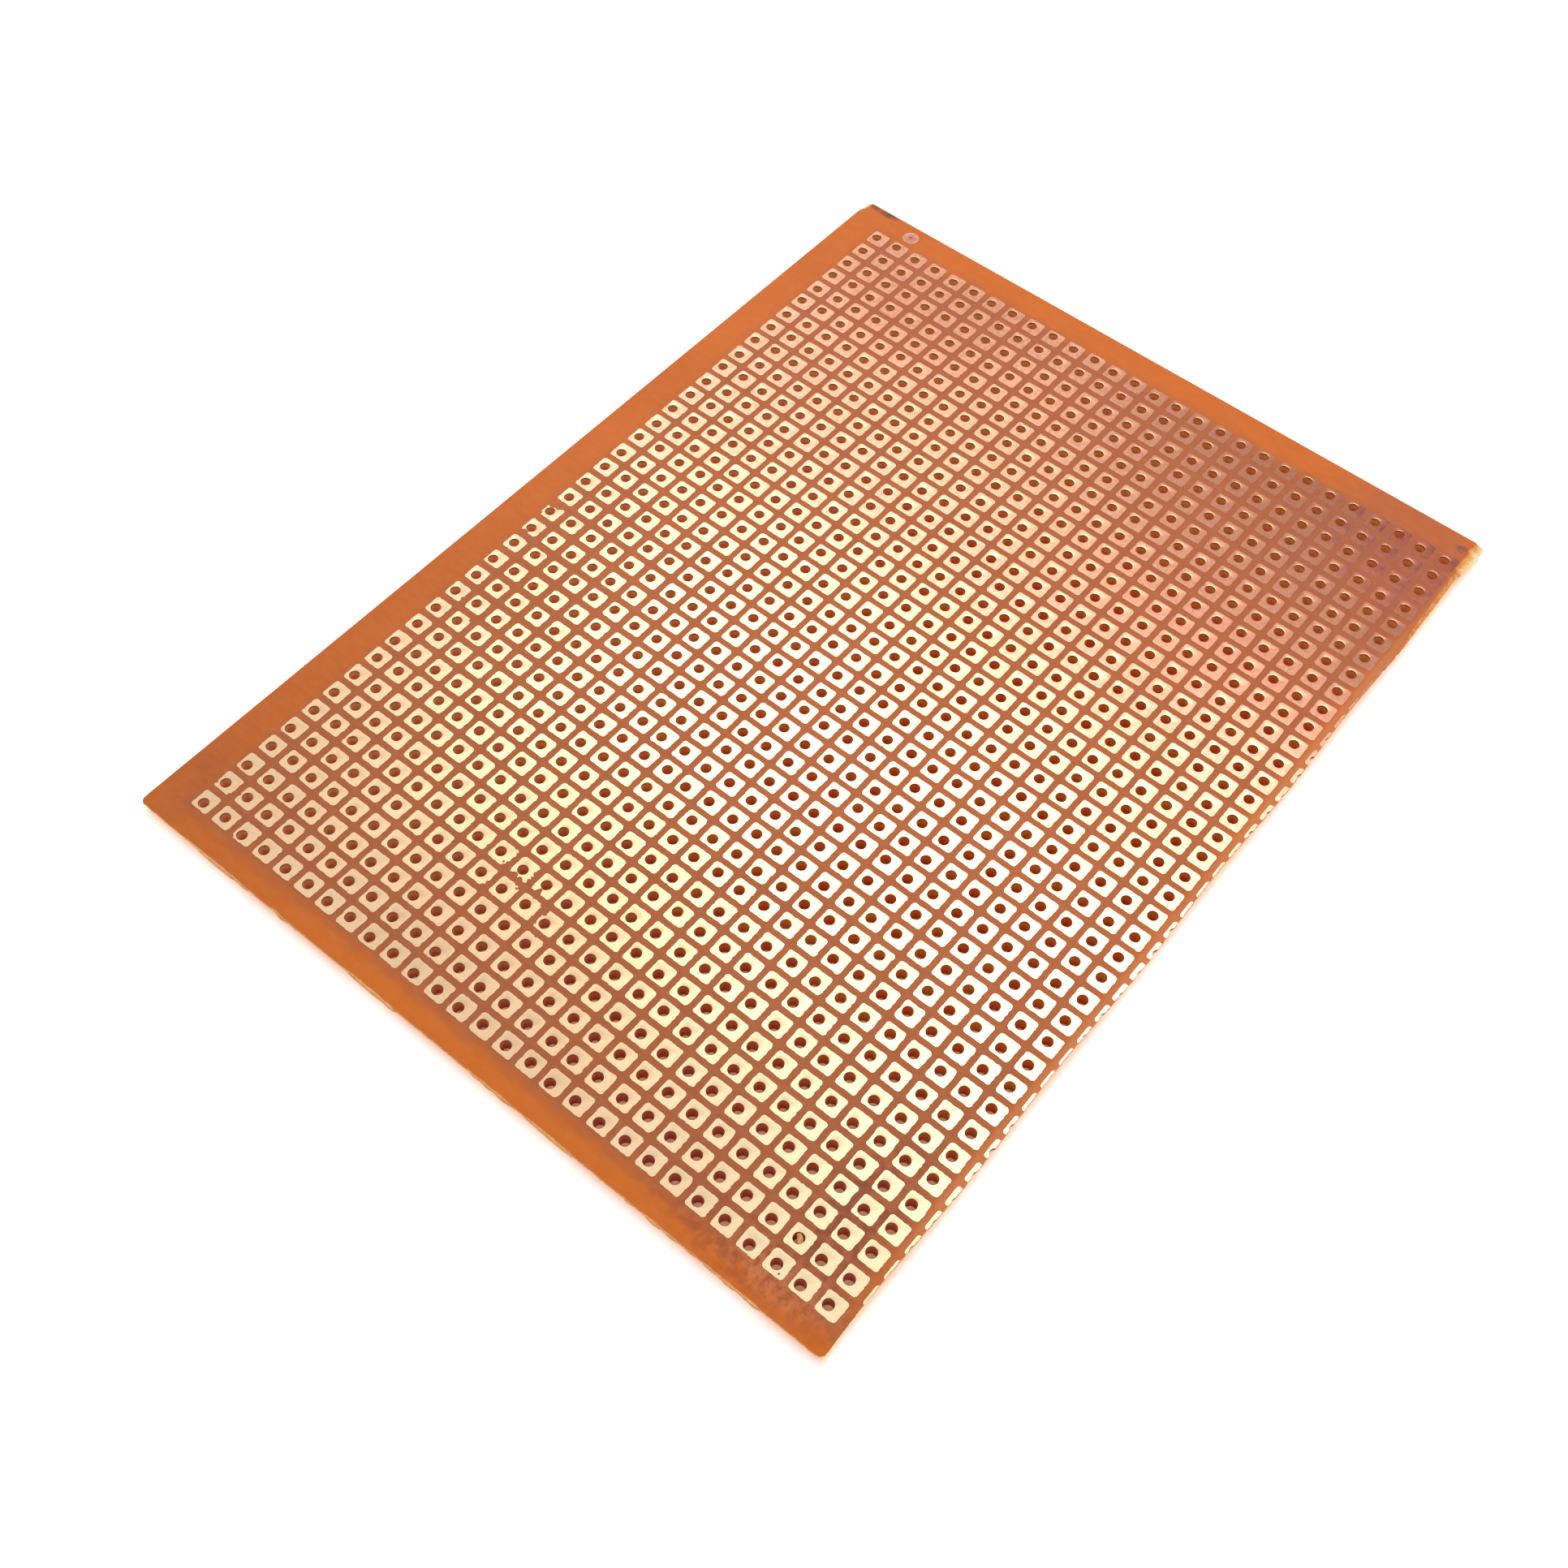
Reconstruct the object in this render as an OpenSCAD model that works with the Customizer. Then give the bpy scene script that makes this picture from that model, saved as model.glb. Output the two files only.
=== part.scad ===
// Bare prototype board: a single-sided phenolic paper laminate with a square copper pad
// round every lead hole, sawn by hand out of a larger board through a row of its pads.
// The board lies flat, copper side up. X runs along the rows of pads, +Y is the clean
// long edge and -Y the sawn one. The origin is the middle of the underside.

/* [Laminate] */
// Thickness of the laminate under the copper
board_t = 1.5; // [0.8:0.1:3.2]
// Near short edge to the middle of the first column of pads
near_margin = 3.6; // [2.5:0.05:10]
// Far short edge to the middle of the last column of pads
far_margin = 4.15; // [3.6:0.05:10]
// Clean long edge to the middle of the first row of pads
clean_margin = 4.45; // [3:0.05:10]
// Radius worn onto the two corners of the near short edge
corner_r = 0.6; // [0.2:0.1:1.5]

/* [Sawn edge] */
// Mean line of the saw cut to the middle of the row of pads that it ran through
cut_inset = 0.6; // [0.4:0.01:0.7]
// How far the cut wanders to each side of that line
cut_wander = 0.13; // [0.02:0.01:0.2]
// Length of one wander along the edge
cut_wave = 23.4; // [15:0.1:40]
// Middle of the first column to the cut's first outward crest
cut_crest = 15.2; // [0:0.1:30]

/* [Chips] */
// Width that the chip at the far end of the sawn edge takes off the top face
sawn_chip_w = 0.65; // [0.2:0.05:0.8]
// Length of the chip along the clean edge at the far corner
clean_chip_l = 2; // [0.5:0.1:4]
// Width that this chip takes off the top face
clean_chip_w = 0.5; // [0.2:0.05:1]
// Depth of both chips, down from the top face
chip_depth = 0.4; // [0.1:0.05:0.7]

/* [Grid] */
// Spacing of the lead holes, both ways
pitch = 2.54; // [2.3:0.01:3.5]
// Number of columns of pads, along X
cols = 38; // [12:1:60]
// Number of whole rows of pads, along Y
rows = 28; // [6:1:50]

/* [Copper] */
// Thickness of the foil
foil_t = 0.035; // [0.018:0.001:0.105]
// Width of a square pad
pad_w = 1.95; // [1.8:0.01:2.15]
// Radius of a pad's corners
pad_r = 0.3; // [0.1:0.05:0.5]
// Columns at the near end where the saw left no strip of pad
strips_lost_near = 1; // [0:1:4]
// Columns at the far end where the saw left no strip of pad
strips_lost_far = 6; // [1:1:8]
// Outer diameter of the register mark
mark_d = 1.85; // [1:0.05:2.1]
// Diameter of the bare eye in the register mark
mark_eye_d = 0.45; // [0.2:0.05:0.8]
// Middle of the last column to the middle of the register mark
mark_gap = 2.42; // [2.2:0.01:2.8]
// Row that the register mark stands beside, counted from the clean edge
mark_row = 2; // [1:1:6]

/* [Drilling] */
// Diameter of a lead hole
hole_d = 1; // [0.8:0.05:1.2]
// How far all the holes sit off their pads, towards the clean edge
drill_side = 0.18; // [0:0.01:0.2]
// How far odd rows of holes sit back towards the near end, and even rows on from it
drill_stagger = 0.09; // [0:0.01:0.12]
// How far the holes of the two end columns sit outwards
drill_stretch = 0.13; // [0:0.01:0.15]
// Largest wander of a single hole, each way
drill_wander = 0.09; // [0:0.01:0.1]

/* [Hidden] */
$fn = 72;
over = 1; // how far a cutting tool stands clear of what it cuts
board_l = near_margin + (cols - 1) * pitch + far_margin;
board_w = clean_margin + rows * pitch - cut_inset + cut_wander;
near_x = -board_l / 2;
far_x = board_l / 2;
clean_y = board_w / 2;
sawn_y = -board_w / 2 + cut_wander; // mean line of the saw cut
sawn_chip_l = far_margin + (strips_lost_far - 0.5) * pitch; // the chip took those strips along

function row_name(r) = str("pad_row_", r < 10 ? "0" : "", r);

// Middle of a pad. Columns and rows count from 1 at the near clean corner, and row
// rows + 1 is the one that the saw ran through.
function pad_x(c) = near_x + near_margin + (c - 1) * pitch;
function pad_y(r) = clean_y - clean_margin - (r - 1) * pitch;

// Middle of a lead hole. The board is drilled two rows at a time, so both rows of a
// pair share each column's wander.
function pair(r) = ceil(r / 2);
function wander_x(c, r) = drill_wander * sin(97 * c + 211 * pair(r) + 53 * c * pair(r));
function wander_y(c, r) = drill_wander * sin(151 * c + 83 * pair(r) + 67 * c * pair(r));
function stagger(r) = r % 2 == 1 ? -drill_stagger : drill_stagger;
function stretch(c) = drill_stretch * (2 * (c - 1) / (cols - 1) - 1);
function hole_x(c, r) = pad_x(c) + stagger(r) + stretch(c) + wander_x(c, r);
function hole_y(c, r) = pad_y(r) + drill_side + wander_y(c, r);

// The sawn edge wanders slowly about its mean line. It is drawn in steps of about half a pitch.
function sawn_edge_y(x) = sawn_y - cut_wander * cos(360 * (x - pad_x(1) - cut_crest) / cut_wave);
saw_steps = ceil(2 * board_l / pitch);
saw_points = [for (k = [0:saw_steps])
    let (x = near_x + corner_r + k * (board_l - corner_r) / saw_steps) [x, sawn_edge_y(x)]];

// Points of a worn corner, about [x, y], from angle a to angle a + 90
function worn_corner(x, y, a) =
    [for (k = [0:6]) [x + corner_r * cos(a + 15 * k), y + corner_r * sin(a + 15 * k)]];

module laminate_outline() {
    polygon(concat(
        saw_points,
        [[far_x, clean_y]],
        worn_corner(near_x + corner_r, clean_y - corner_r, 90),
        worn_corner(near_x + corner_r, saw_points[0].y + corner_r, 180)));
}

// A flake off a top edge that ends at the origin: l long, and w wide at that end
module chip(l, w) {
    reach = l * w / norm([l, w]);
    translate([-l, 0, 0])
        rotate([atan(chip_depth / reach), 0, atan(w / l)])
            translate([-over, -2 * over, 0])
                cube([l + 3 * over, 4 * over, over]);
}

module lead_holes(first, last, h) {
    for (r = [first:last])
        for (c = [1:cols])
            translate([hole_x(c, r), hole_y(c, r), 0])
                cylinder(d = hole_d, h = h);
}

module laminate() {
    color("peru") difference() {
        linear_extrude(board_t) laminate_outline();
        translate([0, 0, -over]) lead_holes(1, rows + 1, board_t + 2 * over);
        translate([far_x, sawn_edge_y(far_x), board_t]) chip(sawn_chip_l, sawn_chip_w);
        translate([far_x, clean_y, board_t]) mirror([0, 1, 0]) chip(clean_chip_l, clean_chip_w);
    }
}

module pad_outline() {
    flat = pad_w - 2 * pad_r;
    square([pad_w, flat], center = true);
    square([flat, pad_w], center = true);
    for (x = [-flat / 2, flat / 2])
        for (y = [-flat / 2, flat / 2])
            translate([x, y]) circle(r = pad_r);
}

module drilled_pad(c, r) {
    difference() {
        translate([pad_x(c), pad_y(r)]) pad_outline();
        translate([hole_x(c, r), hole_y(c, r)]) circle(d = hole_d);
    }
}

// Copper lies on the top face of the laminate
module foil() {
    color("tan") translate([0, 0, board_t]) linear_extrude(foil_t) children();
}

module pad_row(r) {
    foil() for (c = [1:cols]) drilled_pad(c, r);
}

module cut_pad_row() {
    foil() intersection() {
        laminate_outline();
        for (c = [1 + strips_lost_near:cols - strips_lost_far]) drilled_pad(c, rows + 1);
    }
}

module register_mark() {
    foil() translate([pad_x(cols) + mark_gap, pad_y(mark_row)]) difference() {
        circle(d = mark_d);
        circle(d = mark_eye_d);
    }
}

laminate();
for (r = [1:rows]) pad_row(r);
cut_pad_row();
register_mark();
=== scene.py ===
# Bare prototype board: a sheet of phenolic paper laminate with a square copper pad round
# every lead hole, sawn by hand out of a larger board through a row of its pads.
# Sizes are in millimetres until solid() writes a mesh, which is in metres.
import math
import random

import bpy
from mathutils import Matrix, Vector, noise
from mathutils.geometry import delaunay_2d_cdt


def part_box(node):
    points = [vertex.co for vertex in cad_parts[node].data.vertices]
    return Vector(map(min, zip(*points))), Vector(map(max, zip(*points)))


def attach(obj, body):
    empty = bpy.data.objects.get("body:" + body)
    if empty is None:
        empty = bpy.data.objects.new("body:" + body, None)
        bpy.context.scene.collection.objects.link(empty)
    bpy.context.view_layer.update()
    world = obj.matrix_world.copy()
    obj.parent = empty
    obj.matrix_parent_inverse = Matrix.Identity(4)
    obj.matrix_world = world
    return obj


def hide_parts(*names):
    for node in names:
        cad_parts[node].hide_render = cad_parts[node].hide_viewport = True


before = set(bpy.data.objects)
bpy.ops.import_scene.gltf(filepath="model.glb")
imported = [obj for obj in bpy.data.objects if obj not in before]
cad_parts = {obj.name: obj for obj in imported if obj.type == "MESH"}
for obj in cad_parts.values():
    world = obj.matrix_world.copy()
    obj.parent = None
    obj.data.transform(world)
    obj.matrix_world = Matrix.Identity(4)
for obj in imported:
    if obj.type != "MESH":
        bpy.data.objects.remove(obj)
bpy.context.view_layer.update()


# ---------------------------------------------------------------- camera
# A phone camera held over the near sawn corner, looking down across the board towards
# the far clean corner and turned a little to its left.
MM = 0.001                            # one millimetre in metres
LENS = 44.7
VIEW_AZIMUTH = math.radians(36.86)    # from +X towards +Y
VIEW_DOWN = math.radians(56.6)
VIEW_ROLL = math.radians(2.97)
VIEW_DISTANCE = 169.5
AIM_OFF_MIDDLE = (-13.74, -3.42)
NEAREST_SEEN = 5.0

board_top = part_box("laminate")[1].z / MM
aim = Vector((*AIM_OFF_MIDDLE, board_top))
forward = Vector((math.cos(VIEW_DOWN) * math.cos(VIEW_AZIMUTH),
                  math.cos(VIEW_DOWN) * math.sin(VIEW_AZIMUTH),
                  -math.sin(VIEW_DOWN)))
level_right = forward.cross(Vector((0, 0, 1))).normalized()
level_up = level_right.cross(forward)
right = math.cos(VIEW_ROLL) * level_right + math.sin(VIEW_ROLL) * level_up
up = right.cross(forward)
camera = bpy.data.objects.new("camera", bpy.data.cameras.new("camera"))
camera.data.lens = LENS
camera.data.clip_start = NEAREST_SEEN * MM
camera.matrix_world = Matrix.Translation((aim - forward * VIEW_DISTANCE) * MM) @ Matrix(
    (right, up, -forward)).transposed().to_4x4()
bpy.context.scene.collection.objects.link(camera)
bpy.context.scene.camera = camera
bpy.context.scene.view_settings.view_transform = "Standard"


# ---------------------------------------------------------------- laminate
# The board itself is paper soaked in phenolic resin and pressed hard: tan orange, glossy on
# its faces and fibrous where it is cut. Two edges were sheared clean, the near short edge
# broke out roughly, and the sawn edge wanders through a row of drilled holes.
board_low, board_high = (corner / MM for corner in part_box("laminate"))
first_low, first_high = (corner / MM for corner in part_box("pad_row_01"))
second_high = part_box("pad_row_02")[1] / MM
mark_low, mark_high = (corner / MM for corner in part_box("register_mark"))
mark_middle = ((mark_low + mark_high) / 2).xy
pad_w = first_high.y - first_low.y
pitch = first_high.y - second_high.y
columns = round((first_high.x - first_low.x - pad_w) / pitch) + 1
rows = sum(name.startswith("pad_row_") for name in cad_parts)


# Columns and rows count from 1 at the near clean corner. The saw ran through row rows + 1.
def pad_x(column):
    return first_low.x + pad_w / 2 + (column - 1) * pitch


def pad_y(row):
    return first_high.y - pad_w / 2 - (row - 1) * pitch


# The drilling, by the same rule as the frame's holes
HOLE_D = 1.0
DRILL_SIDE = 0.18      # all holes sit this far off their pads, towards the clean edge
DRILL_STAGGER = 0.09   # odd rows sit back towards the near end, and even rows on from it
DRILL_STRETCH = 0.13   # the two end columns sit outwards
DRILL_WANDER = 0.09    # of a single hole, each way


def sine(degrees):
    return math.sin(math.radians(degrees))


def hole_middle(column, row):
    """Where the drill went through a pad. Two rows were drilled at a time."""
    pair = math.ceil(row / 2)
    wander_x = DRILL_WANDER * sine(97 * column + 211 * pair + 53 * column * pair)
    wander_y = DRILL_WANDER * sine(151 * column + 83 * pair + 67 * column * pair)
    stagger = -DRILL_STAGGER if row % 2 else DRILL_STAGGER
    stretch = DRILL_STRETCH * (2 * (column - 1) / (columns - 1) - 1)
    return Vector((pad_x(column) + stagger + stretch + wander_x,
                   pad_y(row) + DRILL_SIDE + wander_y))


def rough(x, y=0.0, z=0.0):
    """Smooth noise from about -1 to 1."""
    return noise.noise(Vector((x, y, z)))


def steady(value, start, end):
    """0 before start, 1 after end, and a smooth step between them."""
    share = min(max((value - start) / (end - start), 0.0), 1.0)
    return share * share * (3 - 2 * share)


# The saw cut, from the same mean line as the frame's. Distances in pairs are measured back
# from the far edge.
CUT_WANDER = 0.13
CUT_WAVE = 23.4
CUT_CREST = 15.2
CUT_FIBRES = ((0.05, 0.9, 3.1), (0.045, 3.7, 7.7))   # depth, waves in a millimetre, seed
DEEPER_CUT_BY = 0.2
DEEPER_CUT = (12.0, 17.0)    # nearer to the far edge than this the saw ran deeper
SNAPPED = (3.9, 4.9)         # and nearer than this the board snapped off instead
SNAPPED_INSET = 0.02


def saw_line(x):
    """The saw's wandering line, with ragged fibres. Its last 4 mm snapped off instead."""
    phase = 360 * (x - pad_x(1) - CUT_CREST) / CUT_WAVE
    line = board_low.y + CUT_WANDER - CUT_WANDER * math.cos(math.radians(phase))
    back = board_high.x - x
    sawn = steady(back, *SNAPPED)
    line += DEEPER_CUT_BY * sawn * (1 - steady(back, *DEEPER_CUT))
    line += (1 - sawn) * (board_low.y + SNAPPED_INSET - line)
    for depth, waves, seed in CUT_FIBRES:
        line += depth * abs(rough(x * waves, seed))
    return line


def old_hole_y(x):
    """Upper side, at x, of the drilled hole that the saw ran through, or nothing."""
    column = round((x - pad_x(1)) / pitch) + 1
    if not 1 <= column <= columns:
        return board_low.y
    middle = hole_middle(column, rows + 1)
    aside = abs(x - middle.x)
    if aside >= HOLE_D / 2:
        return board_low.y
    return middle.y + math.sqrt(HOLE_D * HOLE_D / 4 - aside * aside)


def sawn_y(x):
    return max(saw_line(x), old_hole_y(x))


# Flakes that broke off the top edges at the far end: width on the top face, depth, and the
# two distances back from the far edge between which each dies out
NARROW_FLAKE = (0.36, 0.3, 11.5, 17.5)
WIDE_FLAKE = (0.56, 0.12, 3.7, 4.8)
CLEAN_FLAKE = (0.55, 0.4, 0.5, 2.1)


def flake(sizes, x):
    """Width and depth that a flake still has at x."""
    width, depth, dying, gone = sizes
    share = 1 - steady(board_high.x - x, dying, gone)
    return width * share, depth * share


def sawn_chip(x):
    """Chip off the far end of the sawn edge: wide over the last 5 mm, then narrow."""
    narrow_w, narrow_depth = flake(NARROW_FLAKE, x)
    wide_w, wide_depth = flake(WIDE_FLAKE, x)
    ragged = 1 + 0.22 * rough(x * 1.3, 11.0)
    return (narrow_w + wide_w) * ragged, narrow_depth + wide_depth


def clean_chip(x):
    """Small chip off the clean edge at the far corner."""
    width, depth = flake(CLEAN_FLAKE, x)
    return width * (1 + 0.2 * rough(x * 2.1, 5.0)), depth


# Every station of the outline carries its place, the direction into the board, its side of
# the board, and the width and depth of any chip there.
CORNER_R = 0.6
CORNER_STEP = 15         # degrees
ROUGH_STEP = 0.16
CLEAN_STEP = 0.5
CHIP_STEP = 0.25
CHIPPED_L = 2.5          # of the clean edge, at the far corner
FAR_CORNERS = (1.1, 1.0)   # the far edge has no stations this near its sawn and clean corners
outline = []


def along(start, end, step):
    count = max(1, round(abs(end - start) / step))
    return [start + (end - start) * index / count for index in range(count)]


def add_station(x, y, inward, side, chip=(0, 0)):
    outline.append((Vector((x, y)), Vector(inward), side, chip))


def add_worn_corner(middle_y, start):
    """A corner of the near edge, worn round over a quarter turn from this angle."""
    middle = Vector((board_low.x + CORNER_R, middle_y))
    for angle in range(start, start + 90, CORNER_STEP):
        inward = -Vector((math.cos(math.radians(angle)), sine(angle)))
        add_station(*(middle - CORNER_R * inward), inward, "worn")


for x in along(board_low.x + CORNER_R, board_high.x, ROUGH_STEP):
    side = "sawn" if saw_line(x) > old_hole_y(x) else "drilled"
    add_station(x, sawn_y(x), (0, 1), side, sawn_chip(x))
far_sawn = Vector((board_high.x, sawn_y(board_high.x)))
add_station(*far_sawn, (-0.08, 1), "sawn", sawn_chip(board_high.x))
for y in along(far_sawn.y + FAR_CORNERS[0], board_high.y - FAR_CORNERS[1], CLEAN_STEP):
    add_station(board_high.x, y, (-1, 0), "sheared")
add_station(board_high.x, board_high.y, (-0.05, -1), "sheared", clean_chip(board_high.x))
for x in along(board_high.x - CHIP_STEP, board_high.x - CHIPPED_L, CHIP_STEP):
    add_station(x, board_high.y, (0, -1), "sheared", clean_chip(x))
for x in along(board_high.x - CHIPPED_L, board_low.x + CORNER_R, CLEAN_STEP):
    add_station(x, board_high.y, (0, -1), "sheared")
add_worn_corner(board_high.y - CORNER_R, 90)
near_sawn_y = sawn_y(board_low.x + CORNER_R)
for y in along(board_high.y - CORNER_R, near_sawn_y + CORNER_R, ROUGH_STEP):
    add_station(board_low.x, y, (1, 0), "broken")
add_worn_corner(near_sawn_y + CORNER_R, 180)

# Heights of the edge's points from the top face down, as shares of the thickness
EDGE_LEVELS = (1.0, 0.97, 0.88, 0.74, 0.5, 0.2, 0.0)
LIP_LEVELS = (1, 2)      # where the sawn edge is browner
FOOT_LEVEL = 5           # where its pale corner ends

# How ragged each side is, and how much pale fibre it shows: under 0 dark resin shows
# instead, and past 1 the fibre is almost white
RAGGED = {"sawn": 0.05, "drilled": 0.0, "sheared": 0.012, "worn": 0.07, "broken": 0.09}
FIBRE = {"sawn": 0.85, "drilled": 0.6, "sheared": 0.12, "worn": 0.75, "broken": -0.15}
TOP_ROUNDING = 0.03
TOP_DARKER = 0.3
BROKEN_TOP_FIBRE = -0.35
UNDERCUT = 0.3           # how far the broken edge falls away under the top face
UNDERCUT_H = 1.3         # and from what height
SAWN_UNDERCUT = 0.42     # the same of the sawn edge and the worn corners
SAWN_UNDERCUT_H = 1.4
BROKEN_WAVE = 0.05
BULGE_SET_BACK = 0.07    # of the broken edge's upper part, where its foot bulges
LIP_DARKER = 1.2
CORNER_PALER = 1.5       # the sawn edge is paler by the near edge
CORNER_STEEPER = 0.12    # and falls away less
PALE_CORNER = (5, 9)     # until this far from it

# The same for the first points of a chip: how far in, how far down, and the fibre that shows
CHIP_REACH = (1.0, 0.55, 0.0)
CHIP_DROP = (0.0, 0.45, 1.0)
CHIP_FIBRE = (0.35, 0.85, 1.3)
FIBRE_UNDER_CHIP = 0.9
LEAST_CHIP_W = 0.02
LEAST_CHIP_DEPTH = 0.03


def broken_relief(place, z):
    """How far in the broken edge lies, and how much paler it is. Its foot bulges in places."""
    bulge = steady(rough(place.y * 0.16, 2.0) + 0.4 * rough(place.y * 0.7, 9.0), -0.2, 0.3)
    inset = BULGE_SET_BACK * bulge * steady(z, 0.2, 1.25)
    inset += BROKEN_WAVE * abs(rough(place.y * 0.5, 4.0))
    inset += UNDERCUT * (1.3 - 0.7 * bulge) * (1 - steady(z, 0.0, UNDERCUT_H))
    by_clean_edge = steady(place.y, board_high.y - 8, board_high.y - 1)
    return inset, 0.4 + 0.3 * bulge + 0.5 * by_clean_edge


def sawn_relief(place, z, side, level):
    """The same for the sawn edge, the old holes in it and the worn corners."""
    pale, fibre = 0.0, 0.0
    if side != "worn":
        start, end = PALE_CORNER
        pale = 1 - steady(place.x, board_low.x + start, board_low.x + end)
        fibre -= LIP_DARKER if level in LIP_LEVELS else 0.0
        fibre += CORNER_PALER * pale if level < FOOT_LEVEL else 0.0
    undercut = SAWN_UNDERCUT - CORNER_STEEPER * pale
    return undercut * (1 - steady(z, 0.0, SAWN_UNDERCUT_H)), fibre


def edge_point(station, level):
    """Place of one point on the board's edge, and how much pale fibre shows there."""
    place, inward, side, (chip_w, chip_depth) = station
    z = board_high.z * EDGE_LEVELS[level]
    inset = RAGGED[side] * abs(rough(place.x * 2.3, place.y * 2.3, z * 2.0))
    fibre = FIBRE[side] + 0.4 * rough(place.x * 1.1, place.y * 1.1, z * 4.0)
    further, paler = 0.0, 0.0
    if side == "broken":
        further, paler = broken_relief(place, z)
    elif side != "sheared":
        further, paler = sawn_relief(place, z, side, level)
    inset += further
    fibre += paler
    if level == 0:
        inset += TOP_ROUNDING
        fibre = BROKEN_TOP_FIBRE if side == "broken" else fibre - TOP_DARKER
    if chip_w > LEAST_CHIP_W and level < len(CHIP_REACH):
        inset += chip_w * CHIP_REACH[level]
        z = board_high.z - CHIP_DROP[level] * max(chip_depth, LEAST_CHIP_DEPTH)
        fibre = CHIP_FIBRE[level] * chip_w - 0.05
    elif chip_w > LEAST_CHIP_W:
        fibre = FIBRE_UNDER_CHIP
    spot = place + inward * inset
    return Vector((spot.x, spot.y, z)), fibre


edge_rings = []
for level in range(len(EDGE_LEVELS)):
    edge_rings.append([edge_point(station, level) for station in outline])


def circle_points(middle, radius, sides):
    turns = (2 * math.pi * side / sides for side in range(sides))
    return [middle + radius * Vector((math.cos(turn), math.sin(turn))) for turn in turns]


# Each face is triangulated between its outline and the holes.
HOLE_SIDES = 24
holes = [hole_middle(column, row) for row in range(1, rows + 1)
         for column in range(1, columns + 1)]
loops = [range(len(outline))]
for number in range(len(holes)):
    start = len(outline) + number * HOLE_SIDES
    loops.append(range(start, start + HOLE_SIDES))
borders = [(loop[index - 1], loop[index]) for loop in loops for index in range(len(loop))]
hole_points = [point for hole in holes for point in circle_points(hole, HOLE_D / 2, HOLE_SIDES)]


def on_the_board(corners):
    """False for a triangle that fills a hole or a dent outside the outline."""
    owners = {(corner - len(outline)) // HOLE_SIDES if corner >= len(outline) else -1
              for corner in corners}
    if owners != {-1}:
        return len(owners) > 1
    first = corners.index(min(corners))
    return corners[first - 2] < corners[first - 1]


def face_triangles(ring):
    """Triangles of the face that this ring of edge points goes round."""
    face_points = [point.xy for point, fibre in ring] + hole_points
    _, _, triangles, sources, _, _ = delaunay_2d_cdt(face_points, borders, [], 1, 1e-6, True)
    found = [[sources[point][0] for point in triangle] for triangle in triangles]
    return [corners for corners in found if on_the_board(corners)]


# Points: the top face's, the underside's in the same order, then the edge between them
SKIN, DRILLED, CUT = range(3)
face_count = len(outline) + len(hole_points)
board_points = [Vector((*point.xy, board_high.z)) for point, fibre in edge_rings[0]]
board_points += [Vector((*point, board_high.z)) for point in hole_points]
board_points += [Vector((*point.xy, 0)) for point, fibre in edge_rings[-1]]
board_points += [Vector((*point, 0)) for point in hole_points]
board_faces = [(corners, SKIN) for corners in face_triangles(edge_rings[0])]
board_faces += [([corner + face_count for corner in reversed(corners)], SKIN)
                for corners in face_triangles(edge_rings[-1])]
ring_starts = [0]
for ring in edge_rings[1:-1]:
    ring_starts.append(len(board_points))
    board_points += [point for point, fibre in ring]
ring_starts.append(face_count)
for upper, lower in zip(ring_starts, ring_starts[1:]):
    for index in range(len(outline)):
        after = (index + 1) % len(outline)
        board_faces.append(((lower + index, lower + after, upper + after, upper + index), CUT))
for start in range(len(outline), face_count, HOLE_SIDES):
    for side in range(HOLE_SIDES):
        here, after = start + side, start + (side + 1) % HOLE_SIDES
        board_faces.append(((here, after, face_count + after, face_count + here), DRILLED))


def solid(name, points, faces, finishes, crease=40):
    """A closed mesh from points in millimetres and faces as (corners, finish number)."""
    mesh = bpy.data.meshes.new(name)
    mesh.from_pydata([point * MM for point in points], [], [corners for corners, _ in faces])
    for finish in finishes:
        mesh.materials.append(finish)
    mesh.polygons.foreach_set("material_index", [number for _, number in faces])
    mesh.polygons.foreach_set("use_smooth", [True] * len(faces))
    mesh.set_sharp_from_angle(angle=math.radians(crease))
    mesh.update()
    piece = bpy.data.objects.new(name, mesh)
    bpy.context.scene.collection.objects.link(piece)
    return piece


def rgb(red, green, blue):
    """A colour given as it looks on a screen, 0 to 255, as Blender's linear colour."""
    shares = [channel / 255 for channel in (red, green, blue)]
    return (*((share / 12.92 if share <= 0.04045 else ((share + 0.055) / 1.055) ** 2.4)
              for share in shares), 1)


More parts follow.
